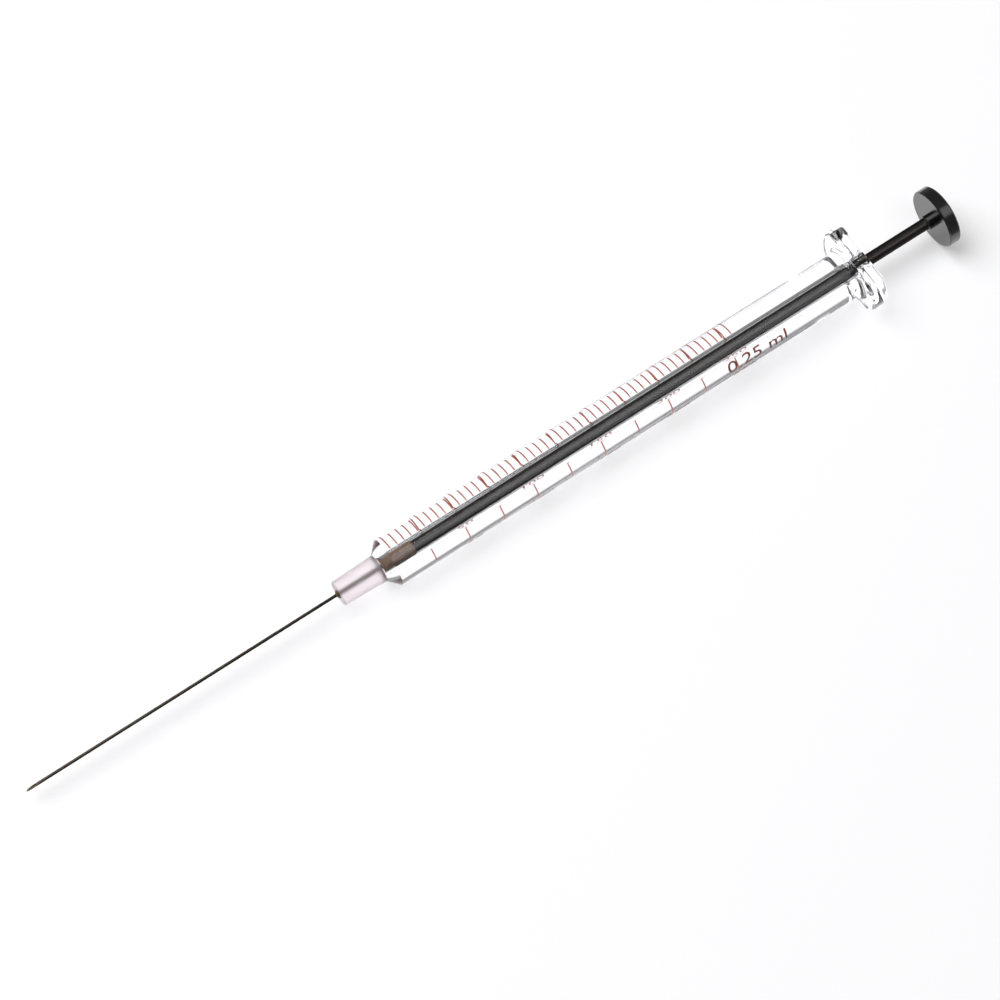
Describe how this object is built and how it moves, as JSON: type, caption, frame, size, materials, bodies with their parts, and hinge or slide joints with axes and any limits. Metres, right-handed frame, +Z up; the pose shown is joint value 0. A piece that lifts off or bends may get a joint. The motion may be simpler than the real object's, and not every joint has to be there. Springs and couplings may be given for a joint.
{
  "type": "microsyringe",
  "caption": "Glass microsyringe with a graduated barrel, cemented steel needle, sliding steel plunger and round thumb button.",
  "frame": {"origin": "on the barrel axis, where the barrel's full diameter starts behind its coned shoulder", "axes": "+X along the barrel axis from the needle to the thumb button, +Z up as it lies, with the flange's flats up and down"},
  "size_m": [0.1607, 0.0134, 0.0094],
  "materials": {
    "borosilicate_glass": "clear, with a ground taper and coned shoulder",
    "needle_steel": "drawn",
    "cement": "clear amber",
    "scale_enamel": "fired red-brown",
    "filled_ptfe": "turned",
    "plunger_steel": "ground",
    "black_plastic": "satin"
  },
  "bodies": {
    "barrel": {"glass_barrel": "borosilicate_glass", "needle": "needle_steel", "needle_cement": "cement", "short_marks": "scale_enamel", "long_marks": "scale_enamel"},
    "plunger": {"plunger_tip": "filled_ptfe", "plunger_rod": "plunger_steel", "thumb_button": "black_plastic"}
  },
  "joints": [
    {"name": "plunger_slide", "type": "slide", "parent": "barrel", "child": "plunger", "axis": [1, 0, 0], "range_m": [0, 0.06]}
  ]
}
